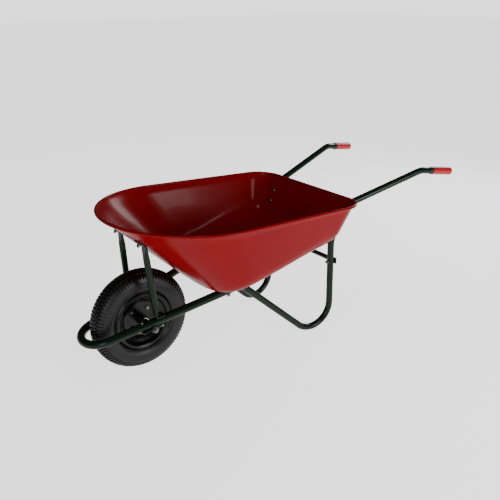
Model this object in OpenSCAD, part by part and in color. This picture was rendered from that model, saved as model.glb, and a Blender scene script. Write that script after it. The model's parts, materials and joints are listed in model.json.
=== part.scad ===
// Builder's wheelbarrow: pressed steel tray on a bent tube frame, one spoked-free
// pneumatic wheel.  X runs forward to the wheel, Y to the left, Z up from the floor.

/* [Layout] */
// Distance from the axle forward to the front of the hoop
hoop_reach = 250; // [240:1:300]
// Distance from the axle back to the ends of the grips
grip_reach = 1415; // [1330:1:1600]
// Distance from the axle back to the virtual corner of each foot
foot_back = 816; // [780:1:850]
// Distance from the axle back to the knee behind the tray
knee_back = 800; // [792:1:808]
// Centre distance of the two legs
leg_spacing = 414; // [380:1:440]

/* [Wheel] */
// Outer diameter of the tyre
wheel_d = 400; // [380:1:410]
// Width of the tyre
tyre_w = 95; // [80:1:105]
// Thickness of the tyre wall
tyre_wall = 7; // [5:0.5:9]
// Diameter over the rim flanges
rim_d = 230; // [222:1:240]
// Width over the rim flanges
rim_w = 84; // [76:1:88]
// Sheet thickness of the rim halves
rim_sheet = 2; // [1.5:0.1:2.5]
// Pitch circle of the rim bolts
rim_bolt_pcd = 96; // [88:1:104]
// Number of rim bolts
rim_bolt_count = 4; // [3:1:6]
// Length of the hub tube
hub_len = 92; // [80:1:104]
// Outer diameter of the ball bearings
bearing_od = 32; // [30:1:36]
// Width of the ball bearings
bearing_w = 10; // [8:1:12]
// Wall of the hub tube around each bearing
hub_wall = 5; // [3:0.5:6]
// Number of balls in each bearing
ball_count = 9; // [7:1:10]

/* [Axle] */
// Diameter of the axle
axle_d = 12; // [10:1:13]
// Height of the rail centre line above the axle
axle_drop = 23; // [23:0.5:30]
// Width of each axle clamp
clamp_w = 28; // [28:1:40]
// Sheet thickness of the axle clamps
clamp_sheet = 4; // [3:0.5:5]
// Distance from each clamp bolt to the clamp centre
clamp_bolt_reach = 36; // [30:1:42]

/* [Frame tubes] */
// Diameter of the hoop and rail tube
rail_d = 32; // [30:1:36]
// Wall of the hoop and rail tube
rail_wall = 1.9; // [1.5:0.1:2.5]
// Radius of the hoop in front of the wheel, on its centre line
hoop_r = 82; // [76:1:90]
// Splay of each rail from the centre plane, in degrees
rail_splay = 8.7; // [7:0.1:10]
// Rise of the rails towards the rear, in degrees
rail_rise = 11.6; // [10:0.1:13]
// Distance from the axle back to the rear ends of the rail tube
rail_back = 335; // [328:1:345]
// Length of the leg tube inside the rail tube
plug_len = 85; // [60:1:110]
// Wall of the leg tubes
leg_wall = 1.5; // [1.2:0.1:2]
// Running fit of the leg tube in the rail tube
plug_fit = 0.1; // [0.05:0.01:0.1]
// Distance from the axle back to the crest between rail and leg
crest_back = 364; // [360:1:380]
// Bend radius at the crest
crest_r = 56; // [45:1:60]
// Bend radius of the feet
foot_r = 95; // [80:1:105]
// Bend radius at the knee and under the rim
knee_r = 90; // [70:1:100]

/* [Handles] */
// Height of the virtual corner under the tray rim
rim_bend_z = 541; // [530:1:545]
// Centre distance of the tubes at that corner
rim_bend_spacing = 436; // [424:1:440]
// Distance from the axle back to the start of the grip bend
grip_bend_back = 1236; // [1180:1:1260]
// Height of the grip bend
grip_bend_z = 642; // [600:1:680]
// Centre distance of the tubes at the grip bend
grip_bend_spacing = 578; // [540:1:620]
// Height of the grip ends
grip_end_z = 615; // [580:1:660]
// Centre distance of the grip ends
grip_end_spacing = 620; // [560:1:660]
// Length of the grips
grip_len = 116; // [100:1:130]
// Diameter of the grips
grip_d = 35; // [33:0.5:38]
// Length of the collar in front of each grip
collar_len = 18; // [10:1:24]

/* [Tray] */
// Distance from the axle forward to the front of the rim
rim_front = 110; // [80:1:120]
// Distance from the axle back to the rear of the rim
rim_back = 868; // [866:1:872]
// Distance from the axle back to the widest place of the rim
rim_wide_back = 246; // [200:1:300]
// Half width of the rim at its widest place
rim_half = 347; // [320:1:370]
// Half width of the rim at the rear
rim_half_rear = 326; // [310:1:335]
// Corner radius of the rim at the rear
rim_corner = 103; // [90:1:106]
// Height of the rim at the front
rim_front_z = 612; // [590:1:640]
// Height of the rim at the rear
rim_rear_z = 568; // [566:1:572]
// Diameter of the rolled edge
bead_d = 12; // [10:0.5:14]
// Sheet thickness of the tray
sheet = 1.5; // [1:0.1:1.6]
// Width of the flared lip inside the rolled edge
lip = 8; // [6:0.5:10]
// Distance from the axle back to the front corner of the floor
floor_front_back = 241; // [225:1:250]
// Distance from the axle back to the widest place of the floor
floor_wide_back = 500; // [440:1:560]
// Half width of the floor corner line
floor_half = 264; // [250:1:270]
// Corner radius of the floor at the rear
floor_corner = 50; // [40:1:54]
// Blend of the floor into the side walls
blend_side = 80; // [60:1:86]
// Blend of the floor into the rear wall
blend_rear = 50; // [40:1:54]
// Blend of the floor into the front wall
blend_front = 35; // [28:1:38]
// Lean of the rear wall from upright, in degrees
rear_lean = 26.5; // [25:0.5:28]

/* [Struts and crossbar] */
// Diameter of the front struts
strut_d = 25; // [22:1:28]
// Place of the strut head around the front wall, in degrees from the middle
strut_turn = 13.9; // [11:0.1:14.8]
// Place of the strut head up the front wall, as a share of its height
strut_share = 0.76; // [0.7:0.01:0.8]
// Distance from the clamp bolt to the foot of the strut
strut_set = 14; // [12:1:16]
// Width of the flattened tube ends
tab_w = 34; // [28:1:36]
// Thickness of the flattened tube ends
tab_t = 5; // [4:0.5:6]
// Diameter of the crossbar
bar_d = 20; // [18:1:24]
// Height of the crossbar
bar_z = 302; // [280:1:320]

/* [Bolts] */
// Diameter of the frame and tray bolts
bolt_d = 8; // [6:1:8]
// Distance from the axle back to the floor bolts
floor_bolt_back = 308; // [302:1:312]
// Height of the lower rear wall bolts
rear_bolt_z = 462; // [460:1:466]
// Distance between the rear wall bolts along the leg
rear_bolt_gap = 46; // [40:1:50]

/* [Hidden] */

$fn = 48;
SIDES = [1, -1];          // +1 is the left side, -1 the right side
seat = 0.2;               // gap between parts that are bolted together
fit = 0.1;                // radial clearance of a bolt, a nut or a bush

tray_red = "#b3141c";
frame_green = "#16281c";
zinc = "#b9bcc0";
black_rubber = "#1c1c1e";
rim_black = "#161617";
grip_red = "#c8232b";

axle_z = wheel_d / 2;
axle_x = (grip_reach - hoop_reach) / 2;

// Bolt sizes follow the bolt diameter
head_af = bolt_d * 13 / 8;
head_h = bolt_d * 0.66;
nut_h = bolt_d * 0.81;
washer_d = bolt_d * 2;
washer_t = 1.6;
dome_d = bolt_d * 2.1;
dome_h = bolt_d * 0.5;
hole_d = bolt_d + 2 * fit;
thread_end = 4;           // bolt end that stands out of its nut

function unit(v) = v / norm(v);
function mirrored(p, side) = [p.x, side * p.y, p.z];

// ---- rails: straight lines that rise and spread towards the rear
rise = tan(rail_rise);
splay = tan(rail_splay);
flat_splay = atan(splay * cos(rail_rise));
hoop_x = hoop_reach - hoop_r * cos(rail_rise) - rail_d / 2;
rail_y0 = hoop_r / cos(flat_splay) + splay * hoop_x;
rail_z0 = axle_z + axle_drop;
function rail_at(x) = [x, rail_y0 - splay * x, rail_z0 - rise * x];
rail_apex = rail_at(rail_y0 / splay);

// Frame on a rail: X forward along the rail, Z up and square to the tray's floor
module on_rail(side, x) {
    translate(mirrored(rail_at(x), side))
        rotate([0, rail_rise, 0])
            rotate([0, 0, -side * flat_splay])
                children();
}

// ---- leg and handle tube: the path of its centre line on the left side
leg_d = rail_d - 2 * rail_wall - 2 * plug_fit;
floor_plane_z0 = rail_z0 + (rail_d / 2 + seat) / cos(rail_rise);
wall_top = [-rim_back + bead_d / 2, rim_rear_z - bead_d];
function wall_x(z) = wall_top.x + (wall_top.y - z) * tan(rear_lean);
function leg_line_x(z) = wall_x(z) - (leg_d / 2 + seat) / cos(rear_lean);
knee_z = wall_top.y - (leg_line_x(wall_top.y) + knee_back) / -tan(rear_lean);

crest = rail_at(-crest_back);
knee = [-knee_back, leg_spacing / 2, knee_z];
// Lowest point of a bend of radius r at corner c between points a and b
function bend_low(a, c, b, r) =
    let(u = unit(a - c), v = unit(b - c), half = acos(u * v) / 2)
    let(n = unit(cross(u, v)), middle = c + unit(u + v) * r / sin(half))
    middle.z - r * sqrt(1 - n.z * n.z);
// Height of the foot corner that sets the tube on the floor, found step by step
function foot_z(z, steps) =
    steps == 0 ? z :
    foot_z(z + leg_d / 2 - bend_low(crest, [-foot_back, leg_spacing / 2, z], knee, foot_r),
           steps - 1);
foot = [-foot_back, leg_spacing / 2, foot_z(-100, 12)];
rim_bend = [leg_line_x(rim_bend_z), rim_bend_spacing / 2, rim_bend_z];
grip_bend = [-grip_bend_back, grip_bend_spacing / 2, grip_bend_z];
grip_round = 9;           // edge radius of the closed grip end
grip_flat = grip_d / 2 - grip_round;
grip_off = acos((grip_reach - grip_bend_back) /
    norm([grip_reach - grip_bend_back, (grip_end_spacing - grip_bend_spacing) / 2,
          grip_bend_z - grip_end_z]));
grip_end = [-grip_reach + grip_flat * sin(grip_off) + grip_round * (1 - cos(grip_off)),
            grip_end_spacing / 2, grip_end_z];
grip_dir = unit(grip_end - grip_bend);
grip_wall = 5;            // closed end of the grip behind the tube
leg_path = [
    rail_at(-rail_back + plug_len), crest, foot, knee, rim_bend, grip_bend,
    grip_end - grip_dir * grip_wall
];
leg_radii = [0, crest_r, foot_r, knee_r, knee_r, knee_r, 0];

// ---- bent tubes: straight lengths and bends about true arcs
function cut(path, radii, i) =
    radii[i] == 0 ? 0 :
    radii[i] / tan(acos(unit(path[i - 1] - path[i]) * unit(path[i + 1] - path[i])) / 2);

join = 1.5;               // how far a straight length runs into a bend
proud = 0.2;              // extra diameter of a bend, so the two join cleanly

module straight(a, b, d) {
    v = b - a;
    translate(a)
        rotate([0, acos(v.z / norm(v)), atan2(v.y, v.x)])
            cylinder(h = norm(v), d = d);
}

module bend(a, c, b, r, d) {
    u = unit(a - c);
    v = unit(b - c);
    half = acos(u * v) / 2;
    middle = c + unit(u + v) * r / sin(half);
    ex = unit(c + u * r / tan(half) - middle);
    ez = unit(cross(ex, unit(c + v * r / tan(half) - middle)));
    ey = cross(ez, ex);
    multmatrix([[ex.x, ey.x, ez.x, middle.x], [ex.y, ey.y, ez.y, middle.y],
                [ex.z, ey.z, ez.z, middle.z], [0, 0, 0, 1]])
        rotate_extrude(angle = 180 - 2 * half)
            translate([r, 0])
                circle(d = d + proud);
}

module bent_rod(path, radii, d, over = 0) {
    for (i = [0 : len(path) - 2]) {
        v = unit(path[i + 1] - path[i]);
        straight(path[i] + v * (radii[i] == 0 ? -over : cut(path, radii, i) - join),
                 path[i + 1] - v * (radii[i + 1] == 0 ? -over : cut(path, radii, i + 1) - join),
                 d);
    }
    for (i = [1 : len(path) - 2])
        bend(path[i - 1], path[i], path[i + 1], radii[i], d);
}

module bent_tube(path, radii, d, wall) {
    difference() {
        bent_rod(path, radii, d);
        bent_rod(path, radii, d - 2 * wall, 1);
    }
}

module ring(d, wall) {
    difference() {
        circle(d = d);
        circle(d = d - 2 * wall);
    }
}

// ---- fasteners: the head sits on Z = 0 and the shank runs down
module hex_bolt(length) {
    cylinder(h = head_h, d = head_af / cos(30), $fn = 6);
    translate([0, 0, -length])
        cylinder(h = length, d = bolt_d);
}

module dome_bolt(length) {
    rotate_extrude()
        intersection() {
            translate([0, dome_h - dome_d * dome_d / (8 * dome_h) - dome_h / 2])
                circle(r = dome_d * dome_d / (8 * dome_h) + dome_h / 2, $fn = 96);
            square([dome_d / 2, dome_h]);
        }
    translate([0, 0, -length])
        cylinder(h = length, d = bolt_d);
}

module nut() {
    difference() {
        cylinder(h = nut_h, d = head_af / cos(30), $fn = 6);
        translate([0, 0, -1])
            cylinder(h = nut_h + 2, d = hole_d);
    }
}

module washer() {
    difference() {
        cylinder(h = washer_t, d = washer_d);
        translate([0, 0, -1])
            cylinder(h = washer_t + 2, d = hole_d);
    }
}

module hole(depth) {
    translate([0, 0, -depth])
        cylinder(h = 2 * depth, d = hole_d);
}

// ---- tray outlines, seen from above, from the front middle round the left side
STEPS = 18;               // steps of the front quarter and of the rear corner
function outline(front, wide, back, half, half_rear, power, corner, grow) = concat(
    [for (i = [0 : STEPS]) let(u = 90 * i / STEPS)
        [wide + (front - wide + grow) * pow(cos(u), 2 / power),
         (half + grow) * pow(sin(u), 2 / power)]],
    [let(w = (half + half_rear) / 2 + grow) [(wide + back + corner) / 2, w]],
    [for (i = [0 : STEPS]) let(a = 90 * i / STEPS, r = max(corner + grow, 1))
        [back - grow + r * (1 - sin(a)), half_rear + grow - r * (1 - cos(a))]],
    [[back - grow, (half_rear - corner) / 2], [back - grow, 0]]
);
HALF = 2 * STEPS + 5;     // points of one half outline
RING = 2 * HALF - 2;      // points of the closed outline
function around(i) = i < HALF ? i : RING - i;
function hand(i) = i < HALF ? 1 : -1;

function floor_z(x) = floor_plane_z0 - rise * x;
// Rear corner of the floor: where the leaning rear wall meets the floor plane
floor_back = (wall_top.x + (wall_top.y - floor_plane_z0) * tan(rear_lean)) /
    (1 - rise * tan(rear_lean));
function rim_z(x) =
    rim_rear_z + (rim_front_z - rim_rear_z) * (x + rim_back) / (rim_front + rim_back);
function rim_line(grow) =
    outline(rim_front, -rim_wide_back, -rim_back, rim_half, rim_half_rear, 2, rim_corner, grow);
function floor_line(grow) =
    outline(-floor_front_back, -floor_wide_back, floor_back, floor_half,
            floor_half - 2, 4, floor_corner, grow);
RIM = rim_line(0);
TOP = rim_line(-bead_d / 2 - lip);
TOP_REAR = rim_line(-bead_d / 2);
FLOOR = floor_line(0);
FLAT_SIDE = floor_line(-blend_side);
FLAT_FRONT = floor_line(-blend_front);
FLAT_REAR = floor_line(-blend_rear);
// How much of the front's and of the rear's blend applies at outline point i
function lean_share(i) = i > STEPS ? 0 : cos(90 * i / STEPS);
function rear_share(i) =
    i < STEPS + 2 ? 0 : i > HALF - 3 ? 1 : pow(sin(90 * (i - STEPS - 2) / STEPS), 2);
function mix(a, b, t) = a * (1 - t) + b * t;
function local(side, front, rear, i) =
    mix(mix(side, rear, rear_share(i)), front, lean_share(i));
function blend(i) = local(blend_side, blend_front, blend_rear, i);

// Outer skin of the tray: corner line, flat edge and wall top at outline point i
function corner_at(i) = [FLOOR[i].x, FLOOR[i].y, floor_z(FLOOR[i].x)];
function flat_at(i) =
    let(p = local(FLAT_SIDE[i], FLAT_FRONT[i], FLAT_REAR[i], i)) [p.x, p.y, floor_z(p.x)];
function top_at(i) =
    let(p = mix(TOP[i], TOP_REAR[i], rear_share(i)))
    [p.x, p.y, mix(rim_z(p.x) - bead_d, wall_top.y, rear_share(i))];
function wall_at(i) =
    corner_at(i) + unit(top_at(i) - corner_at(i)) * blend(i);
function curve(i, t) =
    flat_at(i) * (1 - t) * (1 - t) + corner_at(i) * 2 * t * (1 - t) + wall_at(i) * t * t;

// Outward direction of the wall, in plan
function plan_out(i) = unit(
    i == 0 ? [1, 0] : i >= HALF - 2 ? [-1, 0] :
    [RIM[i - 1].y - RIM[i + 1].y, RIM[i + 1].x - RIM[i - 1].x] * -1);
function out3(i) = [plan_out(i).x, plan_out(i).y, 0];
// Normal of the wall, pointing into the tray
function into(i) =
    let(s = unit(top_at(i) - corner_at(i)), o = out3(i)) unit([0, 0, 1] * (s * o) - o * s.z);

CURVE = 6;                // steps of the blend between floor and wall
BEAD = 10;                // steps of the rolled edge
bead_turn = 300;          // how far the edge is rolled round, in degrees
// Points of one section, from the outer skin of the floor round the bead and back inside
function bead_point(i, a, r) =
    [RIM[i].x, RIM[i].y, rim_z(RIM[i].x)] - out3(i) * r * cos(a) + [0, 0, r * sin(a)];
function section(i) = concat(
    [for (k = [0 : CURVE]) curve(i, k / CURVE)],
    [top_at(i)],
    [for (k = [0 : BEAD]) bead_point(i, bead_turn * k / BEAD - 20, bead_d / 2 - sheet)],
    [for (k = [BEAD : -1 : 0]) bead_point(i, bead_turn * k / BEAD - 20, bead_d / 2)],
    [top_at(i) + into(i) * sheet],
    [for (k = [CURVE : -1 : 0]) let(t = k / CURVE)
        curve(i, t) + mix([0, 0, 1], into(i), t) * sheet]
);
SECTION = 2 * CURVE + 2 * BEAD + 6;

function tray_points() = concat(
    [for (i = [0 : RING - 1]) each
        [for (p = section(around(i))) [p.x, hand(i) * p.y, p.z]]],
    [for (t = [0, sheet]) [-floor_wide_back, 0, floor_z(-floor_wide_back) + t]]
);
function tray_faces() = concat(
    [for (i = [0 : RING - 1]) let(j = (i + 1) % RING) for (k = [0 : SECTION - 2]) each
        [[i * SECTION + k, i * SECTION + k + 1, j * SECTION + k + 1],
         [i * SECTION + k, j * SECTION + k + 1, j * SECTION + k]]],
    [for (i = [0 : RING - 1]) let(j = (i + 1) % RING) each
        [[RING * SECTION, i * SECTION, j * SECTION],
         [RING * SECTION + 1, j * SECTION + SECTION - 1, i * SECTION + SECTION - 1]]]
);

// Frame on the outer skin of the front wall: X up the wall, Z out of the tray
function wall_point(i) = mix(corner_at(i), top_at(i), strut_share);
strut_step = floor(strut_turn * STEPS / 90);
strut_part = strut_turn * STEPS / 90 - strut_step;
strut_spot = mix(wall_point(strut_step), wall_point(strut_step + 1), strut_part);
strut_ex = unit(mix(top_at(strut_step) - corner_at(strut_step),
                    top_at(strut_step + 1) - corner_at(strut_step + 1), strut_part));
strut_ez = unit(cross(wall_point(strut_step + 1) - wall_point(strut_step), strut_ex));
strut_ey = cross(strut_ez, strut_ex);
strut_head = strut_spot + strut_ez * seat / 2;
module on_front_wall(side) {
    mirror([0, side > 0 ? 0 : 1, 0])
        multmatrix([[strut_ex.x, strut_ey.x, strut_ez.x, strut_head.x],
                    [strut_ex.y, strut_ey.y, strut_ez.y, strut_head.y],
                    [strut_ex.z, strut_ey.z, strut_ez.z, strut_head.z], [0, 0, 0, 1]])
            children();
}
strut_bolt_up = strut_set + washer_d / 2;    // bolt distance up the wall from the bend

// Frame on the rear wall at the leg: Z points into the tray, square to the wall
module on_rear_wall(side, along) {
    z = rear_bolt_z + along * cos(rear_lean);
    y = mix(knee.y, rim_bend.y, (z - knee.z) / (rim_bend.z - knee.z));
    translate([wall_x(z), side * y, z])
        rotate([0, 90 - rear_lean, 0])
            children();
}

// Frame on the upright legs at the crossbar: X forward and square to the leg
leg_lean = atan((foot_back - knee_back) / (knee.z - foot.z));
bar_x = -foot_back + (bar_z - foot.z) * tan(leg_lean);
module on_leg(side) {
    translate([bar_x, side * leg_spacing / 2, bar_z])
        rotate([0, leg_lean, 0])
            children();
}

module at_axle() {
    translate([axle_x, 0, axle_z])
        children();
}

module placed() {
    translate([axle_x, 0, 0])
        children();
}

// Clamp frame: square under the rail at the axle, X along the rail
clamp_x = rise * axle_drop / (1 + rise * rise);
clamp_fall = axle_drop / sqrt(1 + rise * rise);
module on_clamp(side) {
    translate(mirrored(rail_at(clamp_x), side))
        rotate([0, rail_rise, 0])
            children();
}
module at_clamp_bolts(side, ends = [1, -1]) {
    for (end = ends)
        on_rail(side, clamp_x + end * clamp_bolt_reach * cos(rail_rise))
            children();
}

// ---- tray
module tray() {
    color(tray_red)
        placed()
            difference() {
                polyhedron(tray_points(), tray_faces(), convexity = 8);
                for (side = SIDES) {
                    on_rail(side, -floor_bolt_back)
                        translate([0, 0, rail_d / 2])
                            hole(10);
                    on_front_wall(side)
                        translate([strut_bolt_up, 0, 0])
                            hole(10);
                    for (along = [0, rear_bolt_gap])
                        on_rear_wall(side, along)
                            hole(10);
                }
            }
}

wire_d = bead_d - 2 * sheet - 2 * seat;
WIRE_SIDES = 8;
module rim_wire() {
    points = [for (i = [0 : RING - 1]) for (k = [0 : WIRE_SIDES - 1])
        let(p = bead_point(around(i), 360 * k / WIRE_SIDES, wire_d / 2)) [p.x, hand(i) * p.y, p.z]];
    faces = [for (i = [0 : RING - 1]) let(j = (i + 1) % RING) for (k = [0 : WIRE_SIDES - 1])
        let(m = (k + 1) % WIRE_SIDES)
        each [[i * WIRE_SIDES + k, j * WIRE_SIDES + m, i * WIRE_SIDES + m],
              [i * WIRE_SIDES + k, j * WIRE_SIDES + k, j * WIRE_SIDES + m]]];
    color(zinc)
        placed()
            polyhedron(points, faces, convexity = 8);
}

// ---- frame tubes
module hoop_and_rails() {
    rear = rail_at(-rail_back);
    color(frame_green)
        placed()
            difference() {
                bent_tube([rear, rail_apex, mirrored(rear, -1)], [0, hoop_r, 0], rail_d, rail_wall);
                for (side = SIDES) {
                    on_rail(side, -floor_bolt_back)
                        hole(rail_d);
                    at_clamp_bolts(side)
                        hole(rail_d);
                }
            }
}

module leg_handle(side) {
    path = [for (p = leg_path) mirrored(p, side)];
    color(frame_green)
        placed()
            difference() {
                bent_tube(path, leg_radii, leg_d, leg_wall);
                on_rail(side, -floor_bolt_back)
                    hole(leg_d);
                for (along = [0, rear_bolt_gap])
                    on_rear_wall(side, along)
                        hole(2 * leg_d);
                on_leg(side)
                    rotate([0, 90, 0])
                        hole(leg_d);
            }
}

// ---- grips and collars, drawn along the tube towards its end
module on_grip(side) {
    v = mirrored(grip_dir, side);
    translate(mirrored(grip_end, side))
        rotate([0, acos(v.z), atan2(v.y, v.x)])
            children();
}

module grip(side) {
    color(grip_red)
        placed()
            on_grip(side)
                difference() {
                    rotate_extrude() {
                        translate([0, -grip_len])
                            square([grip_d / 2, grip_len - grip_round]);
                        translate([0, -grip_round - 1])
                            square([grip_flat, grip_round + 1]);
                        intersection() {
                            translate([grip_flat, -grip_round])
                                circle(grip_round);
                            translate([0, -grip_round])
                                square([grip_d, grip_round]);
                        }
                    }
                    translate([0, 0, -grip_len - 1])
                        cylinder(h = grip_len - grip_wall + 1 + seat, d = leg_d + 2 * fit);
                }
}

module grip_collar(side) {
    bore = leg_d / 2 + fit;
    color(frame_green)
        placed()
            on_grip(side)
                translate([0, 0, -grip_len - collar_len - seat])
                    rotate_extrude()
                        polygon([[bore, 0], [bore + 1, 0], [grip_d / 2 - 1, collar_len * 0.7],
                                 [grip_d / 2 - 1, collar_len], [bore, collar_len]]);
}

// ---- front struts: round tube, flattened and bent at both ends
strut_slim = 45;          // length of each flattened transition
strut_foot_x = clamp_x - clamp_bolt_reach * cos(rail_rise) + strut_set;
module strut_solid() {
    foot_pt = rail_at(strut_foot_x) + [0, 0, rail_d / 2 + seat + tab_t / 2];
    head_pt = strut_head + strut_ez * (seat + tab_t / 2);
    v = unit(head_pt - foot_pt);
    difference() {
        straight(foot_pt + v * strut_slim, head_pt - v * strut_slim, strut_d);
        straight(foot_pt + v * (strut_slim + 5), head_pt - v * (strut_slim + 5), strut_d - 4);
    }
    hull() {
        on_rail(1, strut_foot_x)
            translate([0, 0, rail_d / 2])
                tab_edge();
        straight(foot_pt + v * (strut_slim + 1), foot_pt + v * (strut_slim + 3), strut_d - 1,
                 $fn = 32);
    }
    hull() {
        on_front_wall(1)
            tab_edge();
        straight(head_pt - v * (strut_slim + 3), head_pt - v * (strut_slim + 1), strut_d - 1,
                 $fn = 32);
    }
}

// End of a flattened length, a little inside the tab it runs into
module tab_edge() {
    translate([-tab_t / 2 + 0.3, -tab_w / 2 + 0.3, seat + 0.3])
        cube([tab_t - 0.6, tab_w - 0.6, tab_t - 0.6]);
}

module tab(length) {
    translate([-tab_t / 2, -tab_w / 2, seat])
        cube([length + tab_t / 2, tab_w, tab_t]);
}

module front_strut(side) {
    tab_len = strut_set + washer_d;
    color(frame_green)
        placed()
            mirror([0, side > 0 ? 0 : 1, 0])
                difference() {
                    union() {
                        strut_solid();
                        on_rail(1, strut_foot_x)
                            translate([0, 0, rail_d / 2])
                                rotate([0, 0, 180])
                                    tab(tab_len);
                        on_front_wall(1)
                            tab(strut_bolt_up + washer_d);
                    }
                    at_clamp_bolts(1, [-1])
                        hole(rail_d);
                    on_front_wall(1)
                        translate([strut_bolt_up, 0, 0])
                            hole(rail_d / 2);
                }
}

// ---- crossbar: round tube with flattened ends behind the upright legs
bar_flat = leg_spacing / 2 - tab_w / 2;
bar_round = bar_flat - 24;
bar_set = leg_d / 2 + seat + tab_t / 2;
module crossbar() {
    color(frame_green)
        placed()
            difference() {
                translate([bar_x, 0, bar_z])
                    rotate([0, leg_lean, 0])
                        translate([-bar_set, 0, 0])
                            union() {
                                rotate([90, 0, 0])
                                    translate([0, 0, -bar_round])
                                        linear_extrude(2 * bar_round)
                                            ring(bar_d, 2);
                                for (side = SIDES) {
                                    hull() {
                                        translate([0, side * (bar_round - 2), 0])
                                            rotate([90, 0, 0])
                                                cylinder(h = 2, d = bar_d - 0.4, $fn = 32,
                                                         center = true);
                                        translate([0, side * (bar_flat + 2), 0])
                                            cube([tab_t - 0.6, 2, bar_d * 1.3 - 0.6],
                                                 center = true);
                                    }
                                    translate([-tab_t / 2, side * (bar_flat + tab_w / 2) - tab_w / 2,
                                               -bar_d * 0.65])
                                        cube([tab_t, tab_w, bar_d * 1.3]);
                                }
                            }
                for (side = SIDES)
                    on_leg(side)
                        rotate([0, 90, 0])
                            hole(2 * leg_d);
            }
}

// ---- axle, clamps, spacers, nuts
clamp_out = rail_at(clamp_x).y + clamp_w / 2;
axle_nut_af = axle_d * 19 / 12;
axle_nut_h = axle_d * 0.8;
axle_half = clamp_out + washer_t + seat * 2 + axle_nut_h + thread_end;
module axle() {
    color(zinc)
        at_axle()
            rotate([90, 0, 0])
                translate([0, 0, -axle_half])
                    cylinder(h = 2 * axle_half, d = axle_d);
}

module axle_clamp(side) {
    r_in = axle_d / 2 + fit;
    r_out = r_in + clamp_sheet;
    top = -rail_d / 2 - seat;
    flange = clamp_bolt_reach + washer_d / 2 + 1;
    color(frame_green)
        placed()
            difference() {
                on_clamp(side)
                    rotate([90, 0, 0])
                        translate([0, 0, -clamp_w / 2])
                            linear_extrude(clamp_w)
                                difference() {
                                    union() {
                                        translate([0, -clamp_fall])
                                            circle(r_out);
                                        translate([-r_out, -clamp_fall])
                                            square([2 * r_out, clamp_fall + top]);
                                        translate([-flange, top - clamp_sheet])
                                            square([2 * flange, clamp_sheet]);
                                    }
                                    translate([0, -clamp_fall])
                                        circle(r_in);
                                    translate([-r_in, -clamp_fall])
                                        square([2 * r_in, clamp_fall]);
                                    translate([-r_out - 1, top])
                                        square([2 * r_out + 2, r_out]);
                                }
                at_clamp_bolts(side)
                    hole(2 * rail_d);
            }
}

module axle_nuts() {
    color(zinc)
        at_axle()
            for (side = SIDES)
                rotate([-90 * side, 0, 0])
                    translate([0, 0, clamp_out + washer_t + 2 * seat])
                        difference() {
                            cylinder(h = axle_nut_h, d = axle_nut_af / cos(30), $fn = 6);
                            translate([0, 0, -1])
                                cylinder(h = axle_nut_h + 2, d = axle_d + 2 * fit);
                        }
}

module sleeve(from, to, od, id) {
    rotate([-90, 0, 0])
        translate([0, 0, from])
            linear_extrude(to - from)
                difference() {
                    circle(d = od);
                    circle(d = id);
                }
}

module axle_washers() {
    color(zinc)
        at_axle()
            for (side = SIDES)
                mirror([0, side > 0 ? 0 : 1, 0])
                    sleeve(clamp_out + seat, clamp_out + seat + washer_t,
                           axle_d * 2, axle_d + 2 * fit);
}

spacer_od = axle_d + 5;
module axle_spacer(side) {
    color(zinc)
        at_axle()
            mirror([0, side > 0 ? 0 : 1, 0])
                sleeve(hub_len / 2 + seat, clamp_out - clamp_w - seat,
                       spacer_od, axle_d + 2 * fit);
}

bearing_in = hub_len / 2 - bearing_w;        // inner face of each bearing
module bearing_spacer() {
    color(zinc)
        at_axle()
            sleeve(-bearing_in + seat, bearing_in - seat, spacer_od, axle_d + 2 * fit);
}

// ---- ball bearings
bearing_pitch = (axle_d + bearing_od) / 4;
race_gap = bearing_od / 2 - axle_d / 2;
ball_d = race_gap * 0.5;
race_in = bearing_pitch - ball_d / 2 - fit;
race_out = bearing_pitch + ball_d / 2 + fit;
module bearings(od, id) {
    at_axle()
        for (side = SIDES)
            mirror([0, side > 0 ? 0 : 1, 0])
                sleeve(bearing_in, hub_len / 2, od, id);
}

module bearing_inner_rings() {
    color(zinc)
        bearings(2 * race_in, axle_d + 2 * fit);
}

module bearing_outer_rings() {
    color(zinc)
        bearings(bearing_od, 2 * race_out);
}

module bearing_balls() {
    color(zinc)
        at_axle()
            for (side = SIDES)
                for (k = [0 : ball_count - 1])
                    rotate([0, 360 * k / ball_count, 0])
                        translate([bearing_pitch, side * (hub_len / 2 - bearing_w / 2), 0])
                            sphere(d = ball_d, $fn = 24);
}

module bearing_seals() {
    seal_t = 1;
    color(black_rubber)
        at_axle()
            for (side = SIDES)
                mirror([0, side > 0 ? 0 : 1, 0])
                    for (y = [bearing_in + 0.5, hub_len / 2 - 0.5 - seal_t])
                        sleeve(y, y + seal_t, 2 * race_out - 2 * fit, 2 * race_in + 0.8);
}

// ---- hub and rims, turned profiles given as [distance from the axle, distance sideways]
hub_od = bearing_od + 2 * hub_wall;
module hub() {
    bore = bearing_od / 2 + fit;
    color(rim_black)
        at_axle()
            rotate([-90, 0, 0])
                rotate_extrude()
                    polygon([[bore, -hub_len / 2], [hub_od / 2, -hub_len / 2],
                             [hub_od / 2, hub_len / 2], [bore, hub_len / 2],
                             [bore, bearing_in - seat], [bore - 2, bearing_in - seat],
                             [bore - 2, -bearing_in + seat], [bore, -bearing_in + seat]]);
}

rim_r = rim_d / 2;
bead_r = rim_r - 13;      // where the tyre bead sits
disc_r = rim_bolt_pcd / 2 + 12;
function turn_left(v) = [-v.y, v.x];
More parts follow.
